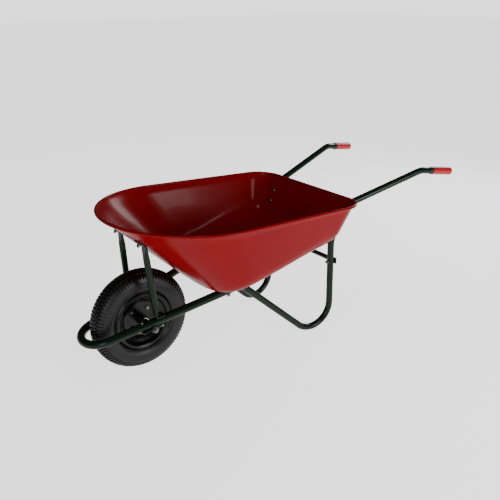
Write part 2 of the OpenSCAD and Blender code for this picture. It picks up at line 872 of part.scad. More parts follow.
// A sheet of the given thickness on the left of a path
function sheeted(path, t) = concat(path, [for (i = [len(path) - 1 : -1 : 0])
    let(a = path[max(i - 1, 0)], b = path[min(i + 1, len(path) - 1)])
    path[i] + turn_left(unit(b - a)) * t]);
rim_path = [
    [hub_od / 2 + fit, fit], [disc_r, fit], [disc_r + 10, 3], [disc_r + 22, 14],
    [bead_r - 4, 24], [bead_r - 2, rim_w / 2 - 10], [bead_r + 3, rim_w / 2 - 5],
    [rim_r - 3, rim_w / 2 - 4.5], [rim_r, rim_w / 2 - 2]
];
valve_r = disc_r + 24;
valve_turn = 205;         // place of the valve round the wheel, in degrees
module at_valve() {
    at_axle()
        rotate([0, -valve_turn, 0])
            translate([valve_r, 0, 0])
                rotate([-90, 0, 0])
                    children();
}
module at_rim_bolts() {
    at_axle()
        for (k = [0 : rim_bolt_count - 1])
            rotate([0, 360 * (k + 0.5) / rim_bolt_count, 0])
                translate([rim_bolt_pcd / 2, 0, 0])
                    rotate([-90, 0, 0])
                        children();
}

module rim_half(side) {
    color(rim_black)
        difference() {
            at_axle()
                rotate([-90 * side, 0, 0])
                    rotate_extrude($fn = 96)
                        polygon(sheeted(rim_path, rim_sheet));
            at_rim_bolts()
                hole(20);
            if (side > 0)
                at_valve()
                    translate([0, 0, 10])
                        cylinder(h = 30, d = valve_d + 2 * fit);
        }
}

module rim_bolts() {
    color(zinc)
        at_rim_bolts()
            translate([0, 0, rim_sheet + 2 * fit + seat])
                hex_bolt(2 * rim_sheet + 4 * fit + 2 * seat + nut_h + thread_end);
}

module rim_nuts() {
    color(zinc)
        at_rim_bolts()
            translate([0, 0, -rim_sheet - 2 * fit - seat - nut_h])
                nut();
}

// ---- tyre, inner tube and valve
tyre_gap = 0.3;
tyre_mid = (wheel_d / 2 + bead_r) / 2 + 2;
tyre_high = wheel_d / 2 - tyre_mid;
BULGE = 2.2;              // fullness of the tyre section, where 2 is an ellipse
function bulge(high, wide, a) =
    [tyre_mid + high * pow(abs(cos(a)), 2 / BULGE) * sign(cos(a)),
     wide * pow(abs(sin(a)), 2 / BULGE) * sign(sin(a))];
module tyre() {
    lip_in = rim_w / 2 - 11;
    steps = 16;
    foot_a = 152;         // where the section ends at the bead, in degrees
    color(black_rubber)
        at_axle()
            rotate([-90, 0, 0])
                rotate_extrude($fn = 120)
                    polygon(concat(
                        [for (k = [-steps : steps])
                            bulge(tyre_high, tyre_w / 2, foot_a * k / steps)],
                        [[bead_r + rim_sheet + 1.5, lip_in + 5.5],
                         [bead_r + rim_sheet + 1.5, lip_in - 3]],
                        [for (k = [steps : -1 : -steps])
                            bulge(tyre_high - tyre_wall, tyre_w / 2 - tyre_wall,
                                  (foot_a - 6) * k / steps)],
                        [[bead_r + rim_sheet + 1.5, -lip_in + 3],
                         [bead_r + rim_sheet + 1.5, -lip_in - 5.5]]));
}

tube_wall = 2.5;
module inner_tube() {
    high = tyre_high - tyre_wall - tyre_gap;
    wide = tyre_w / 2 - tyre_wall - tyre_gap;
    color(black_rubber)
        at_axle()
            rotate([-90, 0, 0])
                rotate_extrude($fn = 96)
                    difference() {
                        polygon([for (k = [0 : 31]) bulge(high, wide, 360 * k / 32)]);
                        polygon([for (k = [0 : 31])
                            bulge(high - tube_wall, wide - tube_wall, 360 * k / 32)]);
                    }
}

valve_d = 8;
valve_out = rim_w / 2 - 4;
valve_foot = 9;           // sideways place of the stem's foot in the rim channel
module valve_stem() {
    color(black_rubber)
        at_valve() {
            translate([0, 0, valve_foot])
                cylinder(h = valve_out - valve_foot, d = valve_d);
            translate([0, 0, valve_foot])
                rotate([0, 90, 0])
                    cylinder(h = tyre_mid - tyre_high + tyre_wall + tyre_gap - valve_r - 0.1,
                             d = valve_d);
            translate([0, 0, valve_foot])
                sphere(d = valve_d);
        }
}

module valve_cap() {
    color(zinc)
        at_valve()
            translate([0, 0, valve_out + fit])
                cylinder(h = 9, d = valve_d + 1.5);
}

// ---- bolts, nuts and washers of the clamps and the strut feet
clamp_top = [rail_d / 2 + seat, rail_d / 2 + 2 * seat + tab_t];   // head height, front and rear
clamp_low = rail_d / 2 + 2 * seat + clamp_sheet;
module clamp_bolts() {
    color(zinc)
        placed()
            for (side = SIDES)
                for (k = [0, 1])
                    at_clamp_bolts(side, [1 - 2 * k])
                        translate([0, 0, clamp_top[k]])
                            hex_bolt(clamp_top[k] + clamp_low + washer_t + seat + nut_h + thread_end);
}

module clamp_nuts() {
    color(zinc)
        placed()
            for (side = SIDES)
                at_clamp_bolts(side)
                    translate([0, 0, -clamp_low - washer_t - seat - nut_h])
                        nut();
}

module clamp_washers() {
    color(zinc)
        placed()
            for (side = SIDES)
                at_clamp_bolts(side)
                    translate([0, 0, -clamp_low - washer_t])
                        washer();
}

// ---- strut heads: dome bolts from inside the tray
module at_strut_bolts() {
    for (side = SIDES)
        on_front_wall(side)
            translate([strut_bolt_up, 0, 0])
                children();
}
module strut_bolts() {
    color(zinc)
        placed()
            at_strut_bolts()
                translate([0, 0, -sheet - 2 * seat])
                    rotate([180, 0, 0])
                        dome_bolt(sheet + 5 * seat + tab_t + washer_t + nut_h + thread_end);
}

module strut_nuts() {
    color(zinc)
        placed()
            at_strut_bolts()
                translate([0, 0, 3 * seat + tab_t + washer_t])
                    nut();
}

module strut_washers() {
    color(zinc)
        placed()
            at_strut_bolts()
                translate([0, 0, 2 * seat + tab_t])
                    washer();
}

// ---- floor bolts through tray, rail and leg tube
module floor_bolts() {
    color(zinc)
        placed()
            for (side = SIDES)
                on_rail(side, -floor_bolt_back)
                    translate([0, 0, rail_d / 2 + 2 * seat + sheet])
                        dome_bolt(rail_d + 4 * seat + sheet + washer_t + nut_h + thread_end);
}

module floor_nuts() {
    color(zinc)
        placed()
            for (side = SIDES)
                on_rail(side, -floor_bolt_back)
                    translate([0, 0, -rail_d / 2 - 2 * seat - washer_t - nut_h])
                        nut();
}

module floor_washers() {
    color(zinc)
        placed()
            for (side = SIDES)
                on_rail(side, -floor_bolt_back)
                    translate([0, 0, -rail_d / 2 - seat - washer_t])
                        washer();
}

// ---- rear wall bolts through the upper legs
module at_rear_bolts() {
    for (side = SIDES)
        for (along = [0, rear_bolt_gap])
            on_rear_wall(side, along)
                children();
}
rear_low = leg_d + 2 * seat;                 // far side of the leg tube, from the wall
module rear_bolts() {
    color(zinc)
        placed()
            at_rear_bolts()
                translate([0, 0, sheet + seat])
                    dome_bolt(sheet + rear_low + 2 * seat + washer_t + nut_h + thread_end);
}

module rear_nuts() {
    color(zinc)
        placed()
            at_rear_bolts()
                translate([0, 0, -rear_low - seat - washer_t - nut_h])
                    nut();
}

module rear_washers() {
    color(zinc)
        placed()
            at_rear_bolts()
                translate([0, 0, -rear_low - washer_t])
                    washer();
}

// ---- crossbar bolts: heads behind the tabs, nuts in front of the legs
bar_back = leg_d / 2 + 2 * seat + tab_t;
module crossbar_bolts() {
    color(zinc)
        placed()
            for (side = SIDES)
                on_leg(side)
                    rotate([0, -90, 0])
                        translate([0, 0, bar_back])
                            hex_bolt(bar_back + leg_d / 2 + 2 * seat + washer_t + nut_h + thread_end);
}

module crossbar_nuts() {
    color(zinc)
        placed()
            for (side = SIDES)
                on_leg(side)
                    rotate([0, 90, 0])
                        translate([0, 0, leg_d / 2 + 2 * seat + washer_t])
                            nut();
}

module crossbar_washers() {
    color(zinc)
        placed()
            for (side = SIDES)
                on_leg(side)
                    rotate([0, 90, 0])
                        translate([0, 0, leg_d / 2 + seat])
                            washer();
}

tray();
rim_wire();
hoop_and_rails();
leg_handle(1);  // leg_handle_left
leg_handle(-1);  // leg_handle_right
grip(1);  // grip_left
grip(-1);  // grip_right
grip_collar(1);  // grip_collar_left
grip_collar(-1);  // grip_collar_right
front_strut(1);  // front_strut_left
front_strut(-1);  // front_strut_right
crossbar();
axle_clamp(1);  // axle_clamp_left
axle_clamp(-1);  // axle_clamp_right
axle();
axle_nuts();
axle_washers();
axle_spacer(1);  // axle_spacer_left
axle_spacer(-1);  // axle_spacer_right
bearing_spacer();
bearing_inner_rings();
bearing_outer_rings();
bearing_balls();
bearing_seals();
hub();
rim_half(1);  // rim_left
rim_half(-1);  // rim_right
rim_bolts();
rim_nuts();
tyre();
inner_tube();
valve_stem();
valve_cap();
clamp_bolts();
clamp_nuts();
clamp_washers();
strut_bolts();
strut_nuts();
strut_washers();
floor_bolts();
floor_nuts();
floor_washers();
rear_bolts();
rear_nuts();
rear_washers();
crossbar_bolts();
crossbar_nuts();
crossbar_washers();
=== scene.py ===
import json
import math

import bmesh
import bpy
import numpy as np
from mathutils import Matrix, Vector


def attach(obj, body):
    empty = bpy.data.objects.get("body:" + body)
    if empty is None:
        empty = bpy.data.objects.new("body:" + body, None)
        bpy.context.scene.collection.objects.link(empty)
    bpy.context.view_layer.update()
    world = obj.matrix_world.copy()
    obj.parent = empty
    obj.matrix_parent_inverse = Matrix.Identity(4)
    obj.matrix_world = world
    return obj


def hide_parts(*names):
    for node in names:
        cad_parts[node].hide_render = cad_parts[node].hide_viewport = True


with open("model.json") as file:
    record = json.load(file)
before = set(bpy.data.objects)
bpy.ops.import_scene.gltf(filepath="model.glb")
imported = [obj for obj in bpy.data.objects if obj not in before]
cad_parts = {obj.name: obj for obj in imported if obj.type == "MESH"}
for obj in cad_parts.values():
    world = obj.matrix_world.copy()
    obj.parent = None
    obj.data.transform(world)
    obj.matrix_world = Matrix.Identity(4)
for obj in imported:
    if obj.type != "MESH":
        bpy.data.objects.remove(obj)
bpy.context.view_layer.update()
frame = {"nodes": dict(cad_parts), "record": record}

# ---------------------------------------------------------------- camera
# The barrow stands on the floor and is seen from its front left, a little from
# above, from about two and a half metres away.
AXLE = Vector((0.5825, 0.0, 0.2))
camera_data = bpy.data.cameras.new("camera")
camera_data.lens = 46.02
camera_data.sensor_width = 36.0
camera_data.shift_x = 0.0284
camera_data.shift_y = 0.0078
camera = bpy.data.objects.new("camera", camera_data)
bpy.context.scene.collection.objects.link(camera)
turn, lift, reach = math.radians(143.9), math.radians(22.405), 2.651
target = Vector((AXLE.x - 0.4599, 0.0, 0.35))
away = Vector((math.sin(turn) * math.cos(lift), -math.cos(turn) * math.cos(lift), math.sin(lift)))
aim = (-away).to_track_quat("-Z", "Y").to_matrix().to_4x4()
camera.matrix_world = (
    Matrix.Translation(target + away * reach) @ aim @ Matrix.Rotation(math.radians(-0.32), 4, "Z"))
bpy.context.scene.camera = camera

# ---------------------------------------------------------------- studio
# A pale matt floor that glows a little and runs out of sight, so that most light
# comes from below, a dim sky, soft low lamps at the sides and a small one above.


def hex_colour(code):
    parts = [int(code[i:i + 2], 16) / 255 for i in (1, 3, 5)]
    return [c / 12.92 if c <= 0.04045 else ((c + 0.055) / 1.055) ** 2.4 for c in parts] + [1.0]


def add(tree, kind, settings=(), **inputs):
    made = tree.nodes.new(kind)
    for key, value in dict(settings).items():
        setattr(made, key, value)
    for key, value in inputs.items():
        key = int(key[1:]) if key[0] == "i" and key[1:].isdigit() else key.replace("_", " ")
        if isinstance(value, bpy.types.NodeSocket):
            tree.links.new(value, made.inputs[key])
        else:
            made.inputs[key].default_value = value
    return made


def new_material(name):
    made = bpy.data.materials.new(name)
    made.use_nodes = True
    made.node_tree.nodes.clear()
    return made, made.node_tree


def place(name, mesh):
    made = bpy.data.objects.new(name, mesh)
    bpy.context.scene.collection.objects.link(made)
    return made


def mesh_from(name, points, faces, sharp=40):
    """A closed mesh in metres, shaded smooth but for edges sharper than the angle given."""
    mesh = bpy.data.meshes.new(name)
    mesh.from_pydata([tuple(p) for p in points], [], [tuple(f) for f in faces])
    shell = bmesh.new()
    shell.from_mesh(mesh)
    bmesh.ops.remove_doubles(shell, verts=shell.verts, dist=1e-6)
    bmesh.ops.recalc_face_normals(shell, faces=shell.faces)
    shell.to_mesh(mesh)
    shell.free()
    mesh.shade_smooth()
    mesh.set_sharp_from_angle(angle=math.radians(sharp))
    return mesh


floor = place("studio_floor", mesh_from(
    "studio_floor", [(-30, -30, 0), (30, -30, 0), (30, 30, 0), (-30, 30, 0)], [(0, 1, 2, 3)]))
floor_paint, tree = new_material("matt white studio floor")
surface = add(tree, "ShaderNodeBsdfPrincipled", Base_Color=hex_colour("#fafafa"), Roughness=0.9)
sight = add(tree, "ShaderNodeLightPath").outputs["Is Camera Ray"]
glow = add(tree, "ShaderNodeMapRange", Value=sight, i1=0.0, i2=1.0, i3=0.72, i4=1.7)
surface.inputs["Emission Color"].default_value = hex_colour("#fefefe")
tree.links.new(glow.outputs["Result"], surface.inputs["Emission Strength"])
add(tree, "ShaderNodeOutputMaterial", Surface=surface.outputs["BSDF"])
floor.data.materials.append(floor_paint)

world = bpy.data.worlds.new("studio")
bpy.context.scene.world = world
world.use_nodes = True
world.node_tree.nodes.clear()
sight = add(world.node_tree, "ShaderNodeLightPath").outputs["Is Camera Ray"]
glow = add(world.node_tree, "ShaderNodeMapRange", Value=sight, i1=0.0, i2=1.0, i3=0.07, i4=2.0)
surround = add(world.node_tree, "ShaderNodeBackground", Color=hex_colour("#fdfdff"),
               Strength=glow.outputs["Result"])
add(world.node_tree, "ShaderNodeOutputWorld", Surface=surround.outputs["Background"])

for name, spot, size, power in (
        ("lamp_left", (2.6, 2.4, 1.3), 1.2, 20), ("lamp_right", (-1.0, 3.2, 1.1), 1.2, 40),
        ("lamp_back", (-2.8, -0.6, 1.7), 1.0, 26),
        ("lamp_top", (0.4, 0.9, 2.8), 0.35, 7)):
    lamp_data = bpy.data.lights.new(name, "AREA")
    lamp_data.size = size
    lamp_data.energy = power
    lamp = bpy.data.objects.new(name, lamp_data)
    bpy.context.scene.collection.objects.link(lamp)
    lamp.matrix_world = Matrix.Translation(spot) @ (
        Vector((0, 0, 0.3)) - Vector(spot)).to_track_quat("-Z", "Y").to_matrix().to_4x4()

# ---------------------------------------------------------------- tray
# Pressed from one sheet of steel and dipped in red enamel: a sloping floor, walls
# blended into it with wide curves, and an edge rolled outwards round a wire.
SHEET, BEAD = 1.5, 12.0
RIM_FRONT, RIM_BACK, RIM_FRONT_Z, RIM_REAR_Z = 110, -868, 612, 568
BLEND_SIDE, BLEND_FRONT, BLEND_REAR = 80.0, 35.0, 50.0
FLOOR_RISE = math.tan(math.radians(11.6))
RAIL_TOP = 239.54          # height of the tray's underside over the axle
FLOOR_BACK, REAR_TOP = -784.5, (-862.0, 556.0)


def spread(first, last, count):
    return [np.array(first) * (1 - t) + np.array(last) * t for t in np.linspace(0, 1, count)]


def tray_outline(front, wide, back, half, half_rear, power, corner, grow):
    """Half of an outline in plan: front quarter, side, rear corner and rear."""
    r = max(corner + grow, 1)
    quarter = [(wide + (front - wide + grow) * max(math.cos(u), 0) ** (2 / power),
                (half + grow) * math.sin(u) ** (2 / power))
               for u in np.linspace(0, math.pi / 2, 49)]
    bend = [(back - grow + r * (1 - math.sin(a)), half_rear + grow - r * (1 - math.cos(a)))
            for a in np.linspace(0, math.pi / 2, 25)]
    side = spread(quarter[-1], bend[0], 12)[1:-1]
    rear = spread(bend[-1], (back - grow, 0), 9)[1:]
    return np.array([*quarter, *side, *bend, *rear])


def rim_outline(grow):
    return tray_outline(RIM_FRONT, -246, RIM_BACK, 347, 326, 2, 103, grow)


def floor_outline(grow):
    return tray_outline(-241, -500, FLOOR_BACK, 264, 262, 4, 50, grow)


rim, half_count = rim_outline(0), len(rim_outline(0))
front_share = np.zeros(half_count)
front_share[:49] = np.cos(np.linspace(0, math.pi / 2, 49))
rear_share = np.ones(half_count)
rear_share[:59] = 0
rear_share[59:84] = np.sin(np.linspace(0, math.pi / 2, 25)) ** 2


def by_place(side, front, rear):
    share_r = rear_share.reshape([-1] + [1] * (np.ndim(side) - 1)) if np.ndim(side) else rear_share
    share_f = front_share.reshape(share_r.shape)
    return (side * (1 - share_r) + rear * share_r) * (1 - share_f) + front * share_f


def lifted(plan, height):
    return np.column_stack([plan, height])


def unit_rows(v):
    return v / np.linalg.norm(v, axis=1, keepdims=True)


def on_floor(plan):
    return lifted(plan, RAIL_TOP - FLOOR_RISE * plan[:, 0])


def rim_height(x):
    return RIM_REAR_Z + (RIM_FRONT_Z - RIM_REAR_Z) * (x - RIM_BACK) / (RIM_FRONT - RIM_BACK)


corner_line = on_floor(floor_outline(0))
flat_edge = on_floor(by_place(
    floor_outline(-BLEND_SIDE), floor_outline(-BLEND_FRONT), floor_outline(-BLEND_REAR)))
top_plan = rim_outline(-14) * (1 - rear_share[:, None]) + rim_outline(-6) * rear_share[:, None]
wall_top = lifted(top_plan, (rim_height(top_plan[:, 0]) - BEAD) * (1 - rear_share)
                  + REAR_TOP[1] * rear_share)
up_wall = unit_rows(wall_top - corner_line)
wall_foot = corner_line + up_wall * by_place(BLEND_SIDE, BLEND_FRONT, BLEND_REAR)[:, None]
along = np.gradient(rim, axis=0)
along[0], along[-1] = (0, 1), (0, -1)
outward = unit_rows(np.column_stack([along[:, 1], -along[:, 0], np.zeros(half_count)]))
dot = np.sum(up_wall * outward, axis=1, keepdims=True)
inward = unit_rows(np.array([0, 0, 1]) * dot - outward * up_wall[:, 2:3])
rim_line = lifted(rim, rim_height(rim[:, 0]))
UP = np.array([0, 0, 1.0])


def bead_ring(angle, radius):
    a = math.radians(angle)
    return rim_line - outward * radius * math.cos(a) + UP * radius * math.sin(a)


rings = []
for t in np.linspace(0, 1, 13):
    rings.append(flat_edge * (1 - t) ** 2 + corner_line * 2 * t * (1 - t) + wall_foot * t * t)
for t in np.linspace(0, 1, 9)[1:]:
    rings.append(wall_foot * (1 - t) + wall_top * t)
rings += [bead_ring(a, BEAD / 2 - SHEET) for a in np.linspace(-20, 280, 25)]
rings += [bead_ring(a, BEAD / 2) for a in np.linspace(280, -20, 25)]
for t in np.linspace(1, 0, 9)[:-1]:
    rings.append(wall_foot * (1 - t) + wall_top * t + inward * SHEET)
for t in np.linspace(1, 0, 13):
    rings.append(flat_edge * (1 - t) ** 2 + corner_line * 2 * t * (1 - t) + wall_foot * t * t
                 + (UP * (1 - t) + inward * t) * SHEET)
half_shell = np.stack(rings, 1)
other_half = half_shell[-2:0:-1] * np.array([1, -1, 1])
shell = np.concatenate([half_shell, other_half])
around, across = shell.shape[:2]
faces = [(i * across + k, (i + 1) % around * across + k, (i + 1) % around * across + k + 1,
          i * across + k + 1) for i in range(around) for k in range(across - 1)]
points = list(shell.reshape(-1, 3))
for k, lift_up in ((0, 0), (across - 1, SHEET)):
    points.append(np.array([-500, 0, RAIL_TOP + FLOOR_RISE * 500 + lift_up]))
    faces += [(i * across + k, (i + 1) % around * across + k, len(points) - 1)
              for i in range(around)]


def from_axle(points):
    """Millimetres from the axle, with heights from the floor, to metres in the model's frame."""
    return np.array(points) / 1000 + np.array([AXLE.x, 0, 0])


tray = place("tray_shell", mesh_from("tray_shell", from_axle(points), faces, 50))

# Stoved red enamel on pressed steel: deep colour under a glassy coat, a faint
# orange peel, and the slow waves that pressing leaves in the sheet.
enamel_red, tree = new_material("stoved red enamel on pressed steel")
where = add(tree, "ShaderNodeTexCoord").outputs["Object"]
cloud = add(tree, "ShaderNodeTexNoise", Vector=where, Scale=5.0, Detail=3.0)
tint = add(tree, "ShaderNodeMix", {"data_type": "RGBA"}, Factor=cloud.outputs["Fac"],
           i6=hex_colour("#8c0a12"), i7=hex_colour("#9a0d15"))
waves = add(tree, "ShaderNodeTexNoise", Vector=where, Scale=7.0, Detail=1.0)
slow = add(tree, "ShaderNodeBump", Strength=0.15, Distance=0.002, Height=waves.outputs["Fac"])
peel = add(tree, "ShaderNodeTexNoise", Vector=where, Scale=160.0, Detail=2.0)
fine = add(tree, "ShaderNodeBump", Strength=0.06, Distance=0.0003, Height=peel.outputs["Fac"],
           Normal=slow.outputs["Normal"])
dust = add(tree, "ShaderNodeTexNoise", Vector=where, Scale=9.0, Detail=3.0)
dull = add(tree, "ShaderNodeMapRange", Value=dust.outputs["Fac"],
           i1=0.35, i2=0.75, i3=0.22, i4=0.28)
surface = add(tree, "ShaderNodeBsdfPrincipled", Base_Color=tint.outputs[2],
              Roughness=dull.outputs["Result"], Normal=fine.outputs["Normal"])
surface.inputs["IOR"].default_value = 1.45
surface.inputs["Specular IOR Level"].default_value = 0.1
surface.inputs["Coat Weight"].default_value = 0.06
surface.inputs["Coat Roughness"].default_value = 0.08
tree.links.new(slow.outputs["Normal"], surface.inputs["Coat Normal"])
add(tree, "ShaderNodeOutputMaterial", Surface=surface.outputs["BSDF"])
tray.data.materials.append(enamel_red)
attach(tray, "barrow_frame")
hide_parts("tray")

# ---------------------------------------------------------------- frame tubes
# Bent steel tube, struts with pressed ends, crossbar and axle straps, all in one
# dark green enamel, thick and glossy.
enamel_green, tree = new_material("dark green enamel on steel tube")
where = add(tree, "ShaderNodeTexCoord").outputs["Object"]
cloud = add(tree, "ShaderNodeTexNoise", Vector=where, Scale=14.0, Detail=3.0)
tint = add(tree, "ShaderNodeMix", {"data_type": "RGBA"}, Factor=cloud.outputs["Fac"],
           i6=hex_colour("#061a10"), i7=hex_colour("#0a2316"))
peel = add(tree, "ShaderNodeTexNoise", Vector=where, Scale=110.0, Detail=2.0)
fine = add(tree, "ShaderNodeBump", Strength=0.2, Distance=0.0006, Height=peel.outputs["Fac"])
surface = add(tree, "ShaderNodeBsdfPrincipled", Base_Color=tint.outputs[2], Roughness=0.24,
              Normal=fine.outputs["Normal"])
surface.inputs["Specular IOR Level"].default_value = 0.22
surface.inputs["Coat Weight"].default_value = 0.12
surface.inputs["Coat Roughness"].default_value = 0.1
add(tree, "ShaderNodeOutputMaterial", Surface=surface.outputs["BSDF"])

# ---------------------------------------------------------------- tyre
# Moulded black rubber on an 8 inch rim: a round carcass with a smooth sidewall,
# fine moulded rings, and rows of small square blocks over the tread.
AXLE_UP = 200              # height of the axle over the floor
MID, HIGH, WIDE = 153.0, 47.0, 47.5


def section(angle, high, wide):
    c, s = math.cos(angle), math.sin(angle)
    return (MID + high * abs(c) ** (2 / 2.2) * math.copysign(1, c),
            wide * abs(s) ** (2 / 2.2) * math.copysign(1, s))


def turned(name, profile, count, sharp=40):
    """A closed profile of (distance from the axle, sideways) turned about the axle."""
    turns = np.linspace(0, 2 * math.pi, count, endpoint=False)
    points = [(r * math.cos(t), y, AXLE_UP + r * math.sin(t)) for t in turns for r, y in profile]
    n = len(profile)
    faces = [(i * n + k, i * n + (k + 1) % n, (i + 1) % count * n + (k + 1) % n,
              (i + 1) % count * n + k) for i in range(count) for k in range(n)]
    return place(name, mesh_from(name, from_axle(points), faces, sharp))


def carcass_point(degrees):
    a = math.radians(degrees)
    side = abs(degrees)
    high, wide = HIGH - 5.2, WIDE - 2.6
    if side > 70:
        high, wide = HIGH - 2.2, WIDE - 0.9
    for ring, raise_by in ((84, 0.6), (96, 0.5), (118, 0.8), (130, 0.6)):
        if abs(side - ring) < 1.2:
            high, wide = high + raise_by, wide + raise_by
    return section(a, high, wide)


stops = np.concatenate([np.arange(0, 60, 4), np.arange(60, 146, 0.8)])
outer = [carcass_point(-d) for d in stops[:0:-1]] + [carcass_point(d) for d in stops]
foot = [(105.5, 36.0), (105.5, 27.0)]
inner = [section(math.radians(d), 39, 39) for d in range(144, -145, -12)]
profile = outer + foot + inner + [(r, -y) for r, y in foot[::-1]]
tyre = turned("tyre_carcass", profile, 180, 35)

# Each pitch of the tread: a centre block, two beside it, and a shoulder block on
# each side that runs down towards the sidewall. A row of numbers gives a block's two
# ends in degrees round the section, its shift in pitches and its slant.
PITCH = 84
block_points, block_faces = [], []
for low, high_side, shift, lean in ((-12, 12, 0.0, 1.5), (15, 32, 0.5, -1.5), (35, 76, 0.0, 0),
                                    (-32, -15, 0.5, 1.5), (-76, -35, 0.0, 0)):
    half_pitch = math.pi / PITCH
    start = len(block_points)
    shoulder = abs(low + high_side) > 80
    angles = np.linspace(low, high_side, 6)
    for layer, (grow, shrink) in enumerate(((-7.0, 0.0), (-0.9, 0.05), (-0.15, 0.11))):
        inset = (0, 0.8, 1.8)[layer]
        for j, d in enumerate(angles):
            if j == 0:
                d += inset
            if j == 5:
                d -= inset
            fade = max(abs(d) - 60, 0) / 16 * 1.3 if shoulder else 0
            r, y = section(math.radians(d), HIGH + grow - (fade if layer else 0),
                           WIDE + grow - (fade if layer else 0))
            width = half_pitch * (0.62 - shrink)
            for side in (-1, 1):
                t = shift * 2 * half_pitch + side * width + lean * y / 4000
                block_points.append((r * math.cos(t), y, AXLE_UP + r * math.sin(t)))
    n = 12
    for layer in range(2):
        loop = [0, 2, 4, 6, 8, 10, 11, 9, 7, 5, 3, 1]
        for a, b in zip(loop, loop[1:] + loop[:1]):
            base = start + layer * n
            block_faces.append((base + a, base + b, base + n + b, base + n + a))
    for layer in (0, 2):
        base = start + layer * n
        for j in range(5):
            block_faces.append((base + 2 * j, base + 2 * j + 1, base + 2 * j + 3, base + 2 * j + 2))
one_pitch = place("tread_seed", mesh_from("tread_seed", from_axle(block_points), block_faces, 35))


def ring_tree(material):
    """Repeats the mesh it is given round the axle, evenly spaced."""
    group = bpy.data.node_groups.new("repeat round the axle", "GeometryNodeTree")
    group.interface.new_socket("Geometry", in_out="INPUT", socket_type="NodeSocketGeometry")
    group.interface.new_socket("Copies", in_out="INPUT", socket_type="NodeSocketInt")
    group.interface.new_socket("Centre", in_out="INPUT", socket_type="NodeSocketVector")
    group.interface.new_socket("Geometry", in_out="OUTPUT", socket_type="NodeSocketGeometry")
    given = add(group, "NodeGroupInput")
    back = add(group, "ShaderNodeVectorMath", {"operation": "SCALE"}, i0=given.outputs["Centre"])
    back.inputs["Scale"].default_value = -1.0
    centred = add(group, "GeometryNodeTransform", Geometry=given.outputs["Geometry"],
                  Translation=back.outputs["Vector"])
    spots = add(group, "GeometryNodeMeshLine", Count=given.outputs["Copies"], Offset=(0, 0, 0),
                Start_Location=given.outputs["Centre"])
    number = add(group, "GeometryNodeInputIndex")
    share = add(group, "ShaderNodeMath", {"operation": "DIVIDE"}, i0=number.outputs["Index"],
                i1=given.outputs["Copies"])
    angle = add(group, "ShaderNodeMath", {"operation": "MULTIPLY"}, i0=share.outputs["Value"],
                i1=2 * math.pi)
    turn_by = add(group, "ShaderNodeCombineXYZ", Y=angle.outputs["Value"])
    copies = add(group, "GeometryNodeInstanceOnPoints", Points=spots.outputs["Mesh"],
                 Instance=centred.outputs["Geometry"], Rotation=turn_by.outputs["Vector"])
    real = add(group, "GeometryNodeRealizeInstances", Geometry=copies.outputs["Instances"])
    finished = add(group, "GeometryNodeSetMaterial", Geometry=real.outputs["Geometry"])
    finished.inputs["Material"].default_value = material
    add(group, "NodeGroupOutput", Geometry=finished.outputs["Geometry"])
    return group


def repeated(seed, name, copies, material):
    """The seed's mesh repeated round the axle, as one plain mesh. The seed is removed."""
    group = ring_tree(material)
    modifier = seed.modifiers.new("repeat", "NODES")
    modifier.node_group = group
    sockets = {s.name: s.identifier for s in group.interface.items_tree
               if s.item_type == "SOCKET" and s.in_out == "INPUT"}
    modifier[sockets["Copies"]] = copies
    modifier[sockets["Centre"]] = tuple(AXLE)
    bpy.context.view_layer.update()
    ready = seed.evaluated_get(bpy.context.evaluated_depsgraph_get())
    mesh = bpy.data.meshes.new_from_object(ready)
    seed.modifiers.remove(modifier)
    bpy.data.objects.remove(seed)
    mesh.name = name
    return place(name, mesh)


rubber, tree = new_material("moulded black tyre rubber")
where = add(tree, "ShaderNodeTexCoord").outputs["Object"]
bloom = add(tree, "ShaderNodeTexNoise", Vector=where, Scale=18.0, Detail=5.0)
tint = add(tree, "ShaderNodeMix", {"data_type": "RGBA"}, Factor=bloom.outputs["Fac"],
           i6=hex_colour("#070707"), i7=hex_colour("#101010"))
grain = add(tree, "ShaderNodeTexNoise", Vector=where, Scale=420.0, Detail=3.0)
fine = add(tree, "ShaderNodeBump", Strength=0.3, Distance=0.0005, Height=grain.outputs["Fac"])
dull = add(tree, "ShaderNodeMapRange", Value=bloom.outputs["Fac"], i1=0.3, i2=0.8, i3=0.36, i4=0.5)
surface = add(tree, "ShaderNodeBsdfPrincipled", Base_Color=tint.outputs[2],
              Roughness=dull.outputs["Result"], Normal=fine.outputs["Normal"])
surface.inputs["IOR"].default_value = 1.5
surface.inputs["Specular IOR Level"].default_value = 0.5
add(tree, "ShaderNodeOutputMaterial", Surface=surface.outputs["BSDF"])
tyre.data.materials.append(rubber)
tread = repeated(one_pitch, "tread_blocks", PITCH, rubber)
tread.data.shade_smooth()
tread.data.set_sharp_from_angle(angle=math.radians(35))
for piece in (tyre, tread):
    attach(piece, "wheel")
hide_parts("tyre")

# ---------------------------------------------------------------- rims and hub
# Two dished discs pressed from sheet steel and bolted face to face, dipped in
# gloss black with the hub tube.
rim_black, tree = new_material("gloss black enamel on pressed rims")
where = add(tree, "ShaderNodeTexCoord").outputs["Object"]
peel = add(tree, "ShaderNodeTexNoise", Vector=where, Scale=120.0, Detail=2.0)
fine = add(tree, "ShaderNodeBump", Strength=0.2, Distance=0.0006, Height=peel.outputs["Fac"])
dust = add(tree, "ShaderNodeTexNoise", Vector=where, Scale=40.0, Detail=5.0)
dull = add(tree, "ShaderNodeMapRange", Value=dust.outputs["Fac"], i1=0.3, i2=0.8, i3=0.2, i4=0.4)
surface = add(tree, "ShaderNodeBsdfPrincipled", Base_Color=hex_colour("#070708"),
              Roughness=dull.outputs["Result"], Normal=fine.outputs["Normal"])
surface.inputs["Specular IOR Level"].default_value = 0.3
surface.inputs["Coat Weight"].default_value = 0.15
surface.inputs["Coat Roughness"].default_value = 0.12
add(tree, "ShaderNodeOutputMaterial", Surface=surface.outputs["BSDF"])


